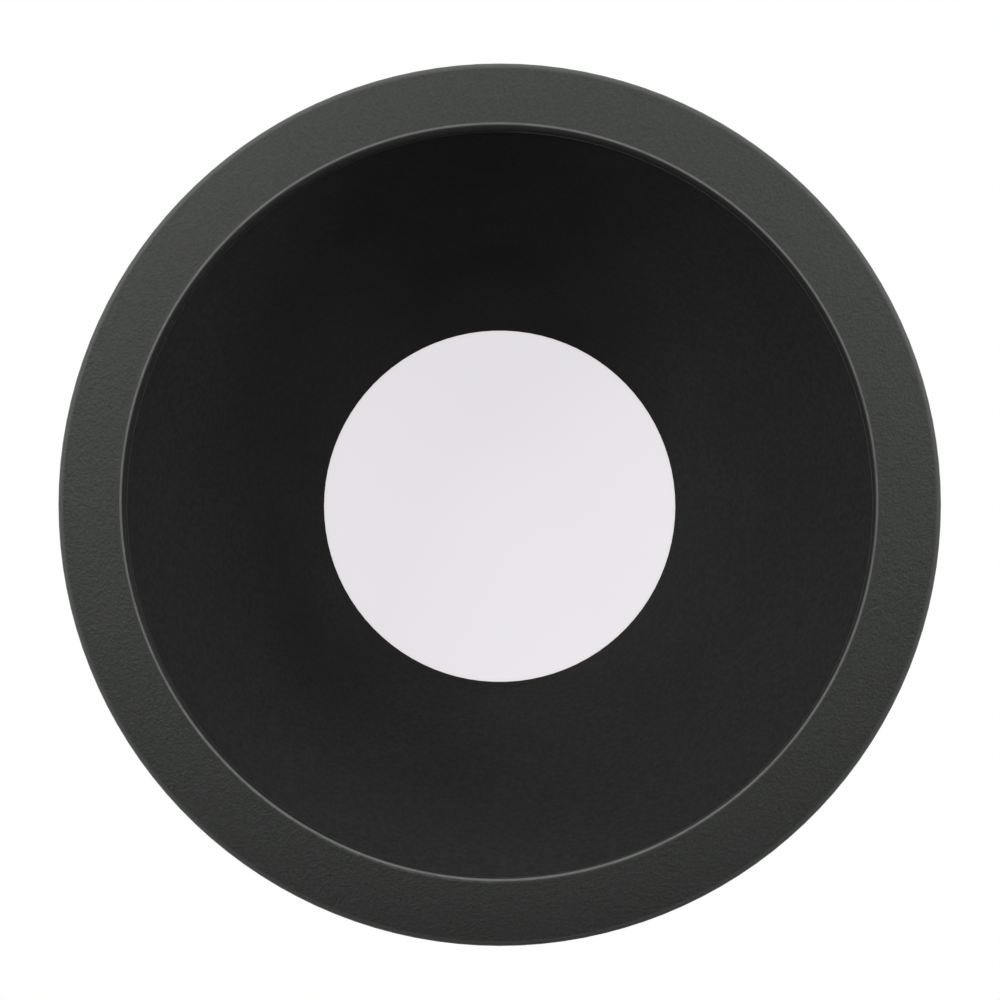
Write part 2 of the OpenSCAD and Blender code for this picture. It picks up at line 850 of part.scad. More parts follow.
// Steel bracket: a back plate with two ears that carry the pin
module clip_bracket(left) {
    ear_r = 3;
    top = seat_z + bracket_h;
    color([0.75, 0.76, 0.78])
        clip_side(left)
            difference() {
                union() {
                    across(0, 2 * (bracket_ear_in + sheet_t))
                        translate([pad_x, seat_z]) square([bracket_t, bracket_h]);
                    for (side = [-1, 1])
                        across(side * (bracket_ear_in + sheet_t / 2), sheet_t) {
                            translate([hinge_x, hinge_z]) circle(r = ear_r);
                            polygon([
                                [plate_face - 0.5, seat_z], [hinge_x, hinge_z - ear_r],
                                [hinge_x + ear_r, hinge_z], [plate_face, hinge_z + 3 * ear_r],
                                [plate_face - 0.5, hinge_z + 3 * ear_r]
                            ]);
                        }
                }
                translate([hinge_x, 0, hinge_z])
                    rotate([90, 0, 0]) cylinder(r = pin_r + 0.02, h = 40, center = true);
                for (y = [-1, 1])
                    translate([pad_x - 1, y * bracket_screw_y, bracket_screw_z])
                        rotate([0, 90, 0]) cylinder(r = m3[0] + slip_gap, h = bracket_t + 2);
                // Cut-off upper corners, and the bends where the ears turn out
                for (side = [-1, 1])
                    translate([pad_x, side * (bracket_ear_in + sheet_t), 0]) {
                        translate([-1, 0, top])
                            rotate([45, 0, 0]) translate([0, -2, -2]) cube([4, 4, 4]);
                        translate([0, 0, seat_z - 1])
                            bend(bracket_t, 135 - 45 * side, hinge_z + 3 * ear_r - seat_z + 1);
                    }
            }
}

module bracket_screws(left) {
    color([0.7, 0.7, 0.72])
        clip_side(left)
            for (y = [-1, 1])
                translate([plate_face, y * bracket_screw_y, bracket_screw_z])
                    rotate([0, 90, 0]) pan_screw(m3);
}

// Headed pin, peened over a washer face at its far end
module clip_pin(left) {
    half = bracket_ear_in + sheet_t + fit_gap;
    head_r = 2.1;
    color([0.8, 0.8, 0.82])
        clip_side(left)
            translate([hinge_x, 0, hinge_z])
                rotate([90, 0, 0]) {
                    cylinder(r = pin_r, h = 2 * half, center = true);
                    for (end = [0, 1])
                        mirror([0, 0, end])
                            translate([0, 0, half - EPS]) cylinder(r1 = head_r, r2 = head_r - 0.4, h = 0.9);
                }
}

// Centre line of the torsion spring at the hinge: a leg up the bracket, the
// coil, and a leg that lies on the arm. The arm's angle is from upright.
spring_step = 20;
spring_pitch = wire_d + 0.06;
leg_l = 10.5;
coil_turn = 360 * spring_turns + 180 - arm_slope - 90;
coil_steps = round(coil_turn / spring_step);
coil_len = spring_pitch * coil_turn / 360;
function coil_point(i) =
    let (a = 180 + coil_turn * i / coil_steps)
    [coil_r * cos(a), coil_len * (i / coil_steps - 0.5), coil_r * sin(a)];
arm_way = [sin(fold_angle), 0, cos(fold_angle)];
spring_path = concat(
    [for (t = [1, 0.66, 0.33, 0.1]) coil_point(0) + [0, 0, leg_l * t]],
    [for (i = [0 : coil_steps]) coil_point(i)],
    [for (t = [0.1, 0.33, 0.66, 1]) coil_point(coil_steps) + leg_l * t * arm_way]
);

// Round wire swept along points: each ring is square to the way through it
module wire(path, r, sides) {
    last = len(path) - 1;
    function unit(v) = v / norm(v);
    function way(i) = unit(path[min(i + 1, last)] - path[max(i - 1, 0)]);
    function ring_at(i) =
        let (w = way(i), side = [0, 1, 0], u = unit(cross(w, side)), v = cross(u, w))
        [for (k = [0 : sides - 1])
            path[i] + r * (cos(360 * k / sides) * u + sin(360 * k / sides) * v)];
    points = [for (i = [0 : last]) each ring_at(i)];
    skin = [for (i = [0 : last - 1], k = [0 : sides - 1])
        let (a = i * sides + k, b = i * sides + (k + 1) % sides)
        each [[a, b, b + sides], [a, b + sides, a + sides]]];
    caps = [[for (k = [sides - 1 : -1 : 0]) k], [for (k = [0 : sides - 1]) last * sides + k]];
    polyhedron(points, concat(skin, caps));
}

module clip_spring(left) {
    color([0.62, 0.63, 0.65])
        clip_side(left) translate([hinge_x, 0, hinge_z]) wire(spring_path, wire_r, 8);
}

// Outline of the arm's ear while the arm stands upright: the boss round the
// pin, the gusset up to the web, and the heel that stops on the bracket
module ear_outline() {
    boss_r = 2.5;
    circle(r = boss_r);
    polygon([
        [-boss_r, 0], [web_in - 2.2, 9], [web_in + sheet_t, 11],
        [web_in + sheet_t, 0.6], [web_in, -0.9], [0, -boss_r]
    ]);
}

module clip_arm(left) {
    web_low = 3.4;
    color([0.75, 0.76, 0.78])
        clip_side(left)
            at_hinge()
                difference() {
                    union() {
                        for (side = [-1, 1])
                            across(side * (ear_out - sheet_t / 2), sheet_t) ear_outline();
                        translate([web_in, -ear_out, web_low])
                            cube([sheet_t, arm_w, arm_l - web_low]);
                    }
                    rotate([90, 0, 0]) cylinder(r = pin_r + 0.05, h = 40, center = true);
                    // Stiffening window in the web
                    translate([web_in - 1, 0, 9.5])
                        rotate([0, 90, 0]) {
                            translate([0, -2, 0]) cylinder(r = 1.6, h = 4);
                            translate([0, 2, 0]) cylinder(r = 1.6, h = 4);
                            translate([-1.6, -2, 0]) cube([3.2, 4, 4]);
                        }
                    for (side = [-1, 1])
                        translate([web_in + sheet_t, side * ear_out, -2])
                            bend(1.3, 45 * side - 45, 13);
                }
}

// Rubber foot pushed over the end of the arm
module clip_foot(left) {
    top = arm_l + foot_over;
    color([0.12, 0.12, 0.12])
        clip_side(left)
            at_hinge()
                difference() {
                    union() {
                        across(0, foot_w)
                            translate([web_in + sheet_t / 2 - foot_t / 2, top - foot_l])
                                square([foot_t, foot_l - foot_t / 2]);
                        translate([web_in + sheet_t / 2, 0, top - foot_t / 2])
                            rotate([90, 0, 0]) cylinder(r = foot_t / 2, h = foot_w, center = true);
                    }
                    translate([web_in, -ear_out, top - foot_l - 1])
                        cube([sheet_t, arm_w, arm_l - top + foot_l + 1]);
                    // Grip grooves on the face that turns to the soffit
                    for (i = [0 : 2])
                        translate([foot_face + 0.15, 0, top - foot_t - 1.5 * i])
                            rotate([90, 0, 0]) cylinder(r = 0.5, h = 2 * foot_w, center = true);
                }
}

trim_ring();
soffit_gasket();
baffle_cone();
trim_screws();
lens_seal();
lens();
light_chamber();
led_board();
led_chips();
board_screws();
thermal_pad();
heat_sink();
wire_grommet();
led_leads();
driver_case();
case_screws();
driver_board();
transformer();
capacitors();
inductor();
driver_chips();
mains_terminal();
cover_seal();
driver_cover();
cover_screws();
gland_body();
gland_seal();
gland_nut();
clip_bracket(false);  // clip_bracket_right
bracket_screws(false);  // bracket_screws_right
clip_pin(false);  // clip_pin_right
clip_spring(false);  // clip_spring_right
clip_arm(false);  // clip_arm_right
clip_foot(false);  // clip_foot_right
clip_bracket(true);  // clip_bracket_left
bracket_screws(true);  // bracket_screws_left
clip_pin(true);  // clip_pin_left
clip_spring(true);  // clip_spring_left
clip_arm(true);  // clip_arm_left
clip_foot(true);  // clip_foot_left
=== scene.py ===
import json
import math

import bpy
from mathutils import Matrix, Vector

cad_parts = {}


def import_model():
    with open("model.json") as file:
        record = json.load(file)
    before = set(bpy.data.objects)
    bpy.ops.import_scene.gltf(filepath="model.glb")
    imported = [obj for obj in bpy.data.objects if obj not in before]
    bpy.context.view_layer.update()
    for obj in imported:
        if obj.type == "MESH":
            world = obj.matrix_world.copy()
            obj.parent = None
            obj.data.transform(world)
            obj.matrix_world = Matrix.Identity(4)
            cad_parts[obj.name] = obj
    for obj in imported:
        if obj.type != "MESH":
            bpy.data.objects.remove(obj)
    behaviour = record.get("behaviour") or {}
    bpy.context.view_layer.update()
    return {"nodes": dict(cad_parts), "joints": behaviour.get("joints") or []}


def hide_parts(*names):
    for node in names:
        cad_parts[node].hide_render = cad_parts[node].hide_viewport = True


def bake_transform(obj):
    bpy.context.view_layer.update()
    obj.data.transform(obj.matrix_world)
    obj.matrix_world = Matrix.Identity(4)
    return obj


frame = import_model()

# Looks of a recessed soffit downlight. The frame is the CAD model's: metres, the
# origin on the lamp's axis in the plane of the soffit, +Z up into the roof.

MM = 0.001
CREST_Z = -5.7 * MM                     # lowest edge of the face, which stands on the floor
CREST_R = 46.97 * MM                    # radius of the crest, where the painted highlight lies
CREST_HIGHLIGHT_CENTRE = (0.101 * MM, 0.354 * MM)   # centre of that painted highlight, shifted toward the light
FLANGE_R = 55.0 * MM
APERTURE_R = 23.0 * MM                  # lens inside the baffle


# ---- materials ----

class Shader:
    """A Principled material whose colour, roughness and bump come from nodes in the row frame."""

    def __init__(self, name, roughness, metallic=0.0, specular=0.5):
        self.material = bpy.data.materials.new(name)
        self.material.use_nodes = True
        self.tree = self.material.node_tree
        self.bsdf = self.tree.nodes["Principled BSDF"]
        self.set("Roughness", roughness)
        self.set("Metallic", metallic)
        self.set("Specular IOR Level", specular)
        self.place = self.node("ShaderNodeTexCoord").outputs["Object"]
        self.normal = None

    def node(self, kind, **settings):
        made = self.tree.nodes.new(kind)
        for key, value in settings.items():
            setattr(made, key, value)
        return made

    def feed(self, socket, value):
        if isinstance(value, bpy.types.NodeSocket):
            self.tree.links.new(value, socket)
        elif isinstance(value, tuple) and len(value) == 3 and socket.type == "RGBA":
            socket.default_value = (*value, 1.0)
        else:
            socket.default_value = value

    def set(self, name, value):
        self.feed(self.bsdf.inputs[name], value)

    def maths(self, operation, a, b=0.0, clamp=False):
        made = self.node("ShaderNodeMath", operation=operation, use_clamp=clamp)
        self.feed(made.inputs[0], a)
        self.feed(made.inputs[1], b)
        return made.outputs[0]

    def stretched(self, x, y, z):
        """The place, scaled along each axis, for grain that runs one way."""
        made = self.node("ShaderNodeVectorMath", operation="MULTIPLY")
        self.feed(made.inputs[0], self.place)
        made.inputs[1].default_value = (x, y, z)
        return made.outputs[0]

    def noise(self, grain, detail=2.0, rough=0.5, place=None):
        """Noise from 0 to 1 whose spots are about grain metres across."""
        made = self.node("ShaderNodeTexNoise")
        self.feed(made.inputs["Vector"], place or self.place)
        made.inputs["Scale"].default_value = 1.0 / grain
        made.inputs["Detail"].default_value = detail
        made.inputs["Roughness"].default_value = rough
        return made.outputs[0]

    def cells(self, size, feature="F1"):
        """Distance within cells that are about size metres across."""
        made = self.node("ShaderNodeTexVoronoi", feature=feature)
        self.feed(made.inputs["Vector"], self.place)
        made.inputs["Scale"].default_value = 1.0 / size
        return made.outputs["Distance"]

    def spread(self, value, low, high, to_low=0.0, to_high=1.0):
        """value from low to high, mapped smoothly from to_low to to_high."""
        made = self.node("ShaderNodeMapRange", interpolation_type="SMOOTHSTEP")
        self.feed(made.inputs["Value"], value)
        for name, number in zip(("From Min", "From Max", "To Min", "To Max"),
                                (low, high, to_low, to_high)):
            made.inputs[name].default_value = number
        return made.outputs["Result"]

    def mix(self, share, a, b):
        """Colour a where share is 0, b where it is 1."""
        made = self.node("ShaderNodeMix", data_type="RGBA")
        self.feed(made.inputs[0], share)
        self.feed(made.inputs[6], a)
        self.feed(made.inputs[7], b)
        return made.outputs[2]

    def bump(self, height, depth, strength=1.0):
        """Adds a relief that is depth metres deep where height goes from 0 to 1."""
        made = self.node("ShaderNodeBump")
        made.inputs["Strength"].default_value = strength
        made.inputs["Distance"].default_value = depth
        self.feed(made.inputs["Height"], height)
        if self.normal is not None:
            self.feed(made.inputs["Normal"], self.normal)
        self.normal = made.outputs["Normal"]
        self.feed(self.bsdf.inputs["Normal"], self.normal)

    def soften(self, radius):
        """Rounds the look of sharp edges, as casting, moulding or plating leaves them."""
        made = self.node("ShaderNodeBevel", samples=4)
        made.inputs["Radius"].default_value = radius
        self.normal = made.outputs["Normal"]

    def axes(self):
        made = self.node("ShaderNodeSeparateXYZ")
        self.feed(made.inputs[0], self.place)
        return made.outputs

    def radius(self, centre=(0.0, 0.0)):
        """Distance from the lamp's axis, or from a line beside it through centre."""
        x, y, _ = self.axes()
        x = self.maths("SUBTRACT", x, centre[0])
        y = self.maths("SUBTRACT", y, centre[1])
        return self.maths("SQRT", self.maths("ADD", self.maths("MULTIPLY", x, x),
                                             self.maths("MULTIPLY", y, y)))

    def band(self, value, middle, half, soft):
        """1 within half of middle, falling to 0 over soft."""
        away = self.maths("ABSOLUTE", self.maths("SUBTRACT", value, middle))
        return self.spread(away, half, half + soft, 1.0, 0.0)


def shade(colour, factor):
    """The colour, lighter or darker by factor."""
    return tuple(min(1.0, c * factor) for c in colour)


def textured_black():
    """Powder coat with a fine orange peel, smoother on the crest and the outer edge, with a
    painted highlight on both and painted shade inward of the crest.
    """
    s = Shader("textured_black", roughness=0.5, specular=0.08)
    coat = (0.0388, 0.0410, 0.0386)
    # colour of the painted shade inward of the crest
    inside = (0.0110, 0.0112, 0.0110)
    # colour of the painted highlight along the crest
    pale = (0.115, 0.118, 0.113)
    peel_depth = 0.19 * MM
    low = s.spread(s.axes()[2], CREST_Z + 0.6 * MM, CREST_Z + 1.0 * MM, 1.0, 0.0)
    from_line = s.radius(CREST_HIGHLIGHT_CENTRE)
    # painted highlight: a pale line along the crest, offset toward the light as a reflection would
    # be
    line = s.maths("MULTIPLY", low, s.band(from_line, CREST_R, 0.07 * MM, 0.11 * MM))
    line = s.maths("MULTIPLY", line, s.spread(s.noise(2.2 * MM, 4.0), 0.2, 0.75, 0.7, 1.1), True)
    # painted shade: darker inward of the highlight line, on the crest's inner side
    dark = s.spread(from_line, CREST_R - 0.30 * MM, CREST_R - 0.08 * MM, 1.0, 0.0)
    crest = s.maths("MULTIPLY", low, s.band(from_line, CREST_R, 0.25 * MM, 0.5 * MM))
    edge = s.band(s.radius(), FLANGE_R, 0.35 * MM, 0.45 * MM)
    grains = s.noise(0.38 * MM, 3.0, 0.6)
    cloud = s.noise(9 * MM, 3.0)
    tone = s.mix(s.spread(grains, 0.3, 0.7), shade(coat, 0.81), shade(coat, 1.19))
    tone = s.mix(s.maths("MULTIPLY", cloud, 0.5), tone, shade(coat, 1.06))
    # painted highlight: the outer edge lighter all round, standing in for its sheen
    tone = s.mix(edge, tone, shade(coat, 1.9))
    s.set("Base Color", s.mix(line, s.mix(dark, tone, inside), pale))
    s.set("Roughness", s.spread(edge, 0.0, 1.0, 0.50, 0.40))
    fine = s.maths("SUBTRACT", s.noise(0.40 * MM, 3.0, 0.6), 0.5)
    wide = s.maths("SUBTRACT", s.noise(1.0 * MM, 2.0), 0.5)
    peel = s.maths("ADD", fine, s.maths("MULTIPLY", wide, 0.4))
    smooth = s.maths("MAXIMUM", s.maths("MAXIMUM", crest, dark), edge)
    s.bump(s.maths("MULTIPLY", peel, s.spread(smooth, 0.0, 1.0, 1.0, 0.25)), peel_depth)
    return s.material


def matt_black():
    """Smooth sprayed black of the baffle."""
    s = Shader("matt_black", roughness=0.5, specular=0.03)
    coat = (0.0138, 0.0140, 0.0142)
    cloud = s.noise(14 * MM, 3.0)
    fine = s.noise(0.7 * MM, 4.0, 0.6)
    dust = s.spread(s.noise(0.5 * MM, 2.0), 0.62, 0.80, 0.0, 1.0)
    tone = s.mix(s.spread(fine, 0.3, 0.7), shade(coat, 0.7), shade(coat, 1.3))
    tone = s.mix(s.maths("MULTIPLY", cloud, 0.6), tone, shade(coat, 1.2))
    s.set("Base Color", s.mix(s.maths("MULTIPLY", dust, 0.5), tone, shade(coat, 1.9)))
    s.set("Roughness", s.spread(cloud, 0.3, 0.7, 0.46, 0.56))
    s.bump(s.noise(0.6 * MM, 3.0, 0.6), 0.02 * MM, 0.7)
    s.bump(s.noise(11 * MM, 1.0), 0.04 * MM, 0.3)
    return s.material


def opal():
    """Opal diffuser with a painted glow that evens out its shade: faintly lavender, with a warm
    fringe at the baffle.
    """
    s = Shader("opal", roughness=0.42, specular=0.25)
    milk = (0.835, 0.805, 0.850)
    radius = s.radius()
    warm = s.spread(radius, APERTURE_R - 0.5 * MM, APERTURE_R, 0.0, 0.5)
    middle = s.spread(radius, 0.0, 11 * MM, 0.35, 0.0)
    cloud = s.noise(5 * MM, 3.0)
    tone = s.mix(s.maths("MULTIPLY", cloud, 0.5), milk, shade(milk, 0.985))
    tone = s.mix(middle, tone, (0.860, 0.800, 0.840))
    tone = s.mix(warm, tone, (0.80, 0.74, 0.70))
    # painted glow: most of the lens's colour comes from emission rather than from the lamps
    s.set("Base Color", s.mix(0.85, tone, (0.0, 0.0, 0.0)))
    s.set("Emission Color", tone)
    s.set("Emission Strength", 0.90)
    s.bump(s.noise(0.4 * MM, 2.0), 0.004 * MM, 0.3)
    return s.material


def cast_aluminium():
    """Shot-blasted die casting: grainy, a little mottled, with darker patches and lighter flow
    marks.
    """
    s = Shader("cast_aluminium", roughness=0.5, metallic=1.0)
    s.soften(0.35 * MM)
    metal = (0.50, 0.51, 0.52)
    grain = s.noise(0.3 * MM, 3.0, 0.6)
    cloud = s.noise(10 * MM, 4.0, 0.55)
    flow = s.noise(6 * MM, 3.0, 0.6, s.stretched(1.0, 1.0, 0.25))
    tone = s.mix(grain, shade(metal, 0.88), shade(metal, 1.08))
    tone = s.mix(s.spread(cloud, 0.3, 0.75, 0.0, 0.55), tone, shade(metal, 0.82))
    s.set("Base Color", s.mix(s.spread(flow, 0.45, 0.8, 0.0, 0.35), tone, shade(metal, 1.12)))
    s.set("Roughness", s.spread(cloud, 0.3, 0.7, 0.42, 0.58))
    s.bump(s.noise(0.45 * MM, 3.0, 0.6), 0.04 * MM, 0.5)
    s.bump(s.noise(5 * MM, 2.0), 0.12 * MM, 0.25)
    return s.material


def moulded(name, colour, grain, depth, roughness):
    """Moulded plastic with a spark-eroded texture."""
    s = Shader(name, roughness=roughness, specular=0.4)
    spark = s.noise(grain, 3.0, 0.6)
    cloud = s.noise(12 * MM, 2.0)
    tone = s.mix(spark, shade(colour, 0.8), shade(colour, 1.2))
    s.set("Base Color", s.mix(s.maths("MULTIPLY", cloud, 0.4), tone, shade(colour, 1.25)))
    s.set("Roughness", s.spread(spark, 0.3, 0.7, roughness - 0.06, roughness + 0.08))
    s.bump(spark, depth, 0.6)
    return s.material


def rubber(name, colour, roughness=0.75):
    """Moulded rubber or silicone with a fine bloom."""
    s = Shader(name, roughness=roughness, specular=0.3)
    bloom = s.noise(1.6 * MM, 4.0, 0.6)
    fine = s.noise(0.18 * MM, 2.0)
    tone = s.mix(bloom, shade(colour, 0.82), shade(colour, 1.25))
    s.set("Base Color", s.mix(s.maths("MULTIPLY", fine, 0.3), tone, shade(colour, 1.4)))
    s.set("Roughness", s.spread(bloom, 0.3, 0.7, roughness - 0.08, roughness + 0.08))
    s.bump(fine, 0.015 * MM, 0.5)
    return s.material


def foam():
    """Closed-cell foam: small cells that show as pits, each darker at its centre as painted shade.
    """
    s = Shader("foam", roughness=0.9, specular=0.15)
    cell = s.cells(0.55 * MM)
    fine = s.cells(0.24 * MM)
    # painted shade: dark at each cell's centre, in the pit
    tone = s.mix(cell, (0.012, 0.012, 0.013), (0.045, 0.045, 0.046))
    s.set("Base Color", s.mix(s.noise(3 * MM, 2.0), tone, (0.026, 0.026, 0.027)))
    s.bump(cell, 0.10 * MM, 0.8)
    s.bump(fine, 0.03 * MM, 0.6)
    return s.material


def plated(name, metal, tint, roughness, way):
    """Zinc plated or drawn steel: fine lines along its rolling direction, cloudy plating."""
    s = Shader(name, roughness=roughness, metallic=1.0)
    lines = s.noise(0.12 * MM, 2.0, 0.5, s.stretched(*way))
    cloud = s.noise(4 * MM, 4.0, 0.6)
    spot = s.noise(0.8 * MM, 3.0, 0.6)
    tone = s.mix(lines, shade(metal, 0.86), shade(metal, 1.08))
    tone = s.mix(s.spread(cloud, 0.35, 0.75, 0.0, 0.6), tone, tint)
    s.set("Base Color", s.mix(s.spread(spot, 0.55, 0.8, 0.0, 0.25), tone, shade(metal, 0.75)))
    s.set("Roughness", s.spread(cloud, 0.3, 0.7, roughness - 0.07, roughness + 0.1))
    s.bump(lines, 0.006 * MM, 0.5)
    s.bump(spot, 0.01 * MM, 0.35)
    return s.material


def board(name, mask, copper):
    """Printed circuit board: solder mask over raised tracks."""
    s = Shader(name, roughness=0.35)
    tracks = s.spread(s.cells(3.2 * MM, "DISTANCE_TO_EDGE"), 0.06, 0.1, 1.0, 0.0)
    speck = s.noise(0.3 * MM, 2.0)
    tone = s.mix(tracks, mask, copper)
    s.set("Base Color", s.mix(s.maths("MULTIPLY", speck, 0.25), tone, shade(mask, 0.8)))
    s.bump(tracks, 0.035 * MM, 0.7)
    s.bump(speck, 0.01 * MM, 0.4)
    return s.material


def glossy(name, colour, roughness, grain=0.6 * MM):
    """Smooth sleeve or white moulding with slight waviness and dust."""
    s = Shader(name, roughness=roughness)
    cloud = s.noise(3 * MM, 3.0)
    fine = s.noise(grain, 3.0)
    tone = s.mix(cloud, shade(colour, 0.92), shade(colour, 1.05))
    s.set("Base Color", s.mix(s.maths("MULTIPLY", fine, 0.2), tone, shade(colour, 0.85)))
    s.set("Roughness", s.spread(cloud, 0.3, 0.7, roughness - 0.05, roughness + 0.08))
    s.bump(fine, 0.01 * MM, 0.4)
    return s.material


def ferrite():
    """Sintered ferrite or a wound coil's dark varnish."""
    s = Shader("ferrite", roughness=0.7, specular=0.35)
    grit = s.noise(0.25 * MM, 4.0, 0.65)
    s.set("Base Color", s.mix(grit, (0.010, 0.010, 0.012), (0.045, 0.045, 0.050)))
    s.bump(grit, 0.03 * MM, 0.6)
    return s.material


ZINC = (0.55, 0.56, 0.58)
MATERIALS = {
    "textured_black": textured_black(),
    "matt_black": matt_black(),
    "foam": foam(),
    "black_steel": plated("black_steel", (0.060, 0.060, 0.066), (0.085, 0.085, 0.10), 0.4,
                          (1.0, 1.0, 0.2)),
    "silicone": rubber("silicone", (0.62, 0.62, 0.60), 0.5),
    "opal": opal(),
    "white_plastic": glossy("white_plastic", (0.80, 0.80, 0.785), 0.35),
    "white_board": board("white_board", (0.78, 0.78, 0.77), (0.86, 0.86, 0.85)),
    "phosphor": glossy("phosphor", (0.80, 0.62, 0.16), 0.4, 0.2 * MM),
    "thermal_pad": rubber("thermal_pad", (0.27, 0.33, 0.40), 0.65),
    "cast_aluminium": cast_aluminium(),
    "black_rubber": rubber("black_rubber", (0.020, 0.020, 0.021)),
    "lead_sleeve": glossy("lead_sleeve", (0.32, 0.014, 0.010), 0.3),
    "dark_plastic": moulded("dark_plastic", (0.024, 0.0245, 0.0255), 0.3 * MM, 0.03 * MM, 0.5),
    "black_plastic": moulded("black_plastic", (0.016, 0.016, 0.0165), 0.2 * MM, 0.014 * MM, 0.42),
    "green_board": board("green_board", (0.012, 0.075, 0.028), (0.03, 0.15, 0.06)),
    "ferrite": ferrite(),
    "can_sleeve": glossy("can_sleeve", (0.012, 0.018, 0.070), 0.28),
    "zinc_steel": plated("zinc_steel", ZINC, (0.50, 0.53, 0.59), 0.34, (1.0, 0.08, 1.0)),
    "spring_steel": plated("spring_steel", (0.40, 0.40, 0.415), (0.33, 0.325, 0.33), 0.3,
                           (0.15, 1.0, 0.15)),
}


# ---- which node takes which finish ----

FINISH = {
    "trim_ring": "textured_black", "soffit_gasket": "foam", "baffle_cone": "matt_black",
    "trim_screws": "black_steel", "lens_seal": "silicone", "lens": "opal",
    "light_chamber": "white_plastic", "led_board": "white_board", "led_chips": "phosphor",
    "board_screws": "zinc_steel", "thermal_pad": "thermal_pad", "heat_sink": "cast_aluminium",
    "wire_grommet": "black_rubber", "led_leads": "lead_sleeve", "driver_case": "dark_plastic",
    "case_screws": "zinc_steel", "driver_board": "green_board", "transformer": "ferrite",
    "capacitors": "can_sleeve", "inductor": "ferrite", "driver_chips": "black_plastic",
    "mains_terminal": "white_plastic", "cover_seal": "black_rubber",
    "driver_cover": "dark_plastic", "cover_screws": "black_steel",
    "gland_body": "black_plastic", "gland_seal": "black_rubber", "gland_nut": "black_plastic",
}
SIDES = ("right", "left")
for side in SIDES:
    FINISH.update({
        f"clip_bracket_{side}": "zinc_steel", f"bracket_screws_{side}": "zinc_steel",
        f"clip_pin_{side}": "zinc_steel", f"clip_arm_{side}": "zinc_steel",
        f"clip_foot_{side}": "black_rubber",
    })

for name, finish in FINISH.items():
    mesh = frame["nodes"][name].data
    mesh.materials.clear()
    mesh.materials.append(MATERIALS[finish])


# ---- springs ----

WIRE_R = 0.5 * MM
COIL_R = 2.3 * MM
COIL_PITCH = 1.06 * MM
COIL_TURN = math.radians(1482)
COIL_LEN = COIL_PITCH * COIL_TURN / math.tau
COIL_STEPS = 148
LEG = 10.5 * MM
LEG_STEPS = 12
ARM_ANGLE = math.radians(138)
WIRE_END = ((0.35, 0.0), (0.8, 0.12), (1.0, 0.4))   # share of the radius, radii inward


def spring_path():
    """Centre line at the hinge: a leg up the bracket, the coil, a leg that lies on the arm."""
    def coil(t):
        a = math.pi + COIL_TURN * t
        return Vector((COIL_R * math.cos(a), COIL_LEN * (t - 0.5), COIL_R * math.sin(a)))

    arm_way = Vector((math.sin(ARM_ANGLE), 0, math.cos(ARM_ANGLE)))
    up = [coil(0) + Vector((0, 0, LEG * t / LEG_STEPS)) for t in range(LEG_STEPS, 0, -1)]
    turns = [coil(i / COIL_STEPS) for i in range(COIL_STEPS + 1)]
    out = [coil(1) + arm_way * (LEG * t / LEG_STEPS) for t in range(1, LEG_STEPS + 1)]
    return up + turns + out


def wire_mesh(name, path, radius, sides=18):
    """Round wire swept along the path, with its ends rounded off."""
    verts, faces = [], []
    ways = [(path[min(i + 1, len(path) - 1)] - path[max(i - 1, 0)]).normalized()
            for i in range(len(path))]
    rings = [(path[0] + ways[0] * radius * back, ways[0], radius * share)
             for share, back in WIRE_END]
    rings += [(p, w, radius) for p, w in zip(path[1:-1], ways[1:-1])]
    rings += [(path[-1] - ways[-1] * radius * back, ways[-1], radius * share)
              for share, back in reversed(WIRE_END)]
    for centre, way, r in rings:
        u = way.cross(Vector((0, 1, 0))).normalized()
        v = u.cross(way)
        for k in range(sides):
            a = math.tau * k / sides
            verts.append(centre + (u * math.cos(a) + v * math.sin(a)) * r)
    for i in range(len(rings) - 1):
        for k in range(sides):
            a, b = i * sides + k, i * sides + (k + 1) % sides
            faces.append((a, a + sides, b + sides, b))
    last = (len(rings) - 1) * sides
    faces.append(tuple(range(sides)))
    faces.append(tuple(last + k for k in range(sides - 1, -1, -1)))
    mesh = bpy.data.meshes.new(name)
    mesh.from_pydata([tuple(v) for v in verts], [], faces)
    mesh.validate()
    mesh.update()
    mesh.polygons.foreach_set("use_smooth", [True] * len(mesh.polygons))
    made = bpy.data.objects.new(name, mesh)
    bpy.context.scene.collection.objects.link(made)
    return made


hinges = {joint["child"]: Vector(joint["pos_m"]) for joint in frame["joints"]}
for side, turn in (("right", 0.0), ("left", math.pi)):
    spring = wire_mesh(f"spring_{side}", spring_path(), WIRE_R)
    hinge = hinges[f"clip_{side}"]
    place = Matrix.Translation(hinge) @ Matrix.Rotation(turn, 4, "Z")
    spring.data.transform(place)
    spring.data.materials.append(MATERIALS["spring_steel"])
    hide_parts(f"clip_spring_{side}")
    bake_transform(spring)


# ---- floor, light and camera ----

FLOOR_HALF = 3.0
FLOOR_GAP = 0.02 * MM
# The floor's own glow to the camera, by metres away from the lamp's axis.
FLOOR_GLOW = {"From Min": 0.10, "From Max": 0.5, "To Min": 0.44, "To Max": 1.0}


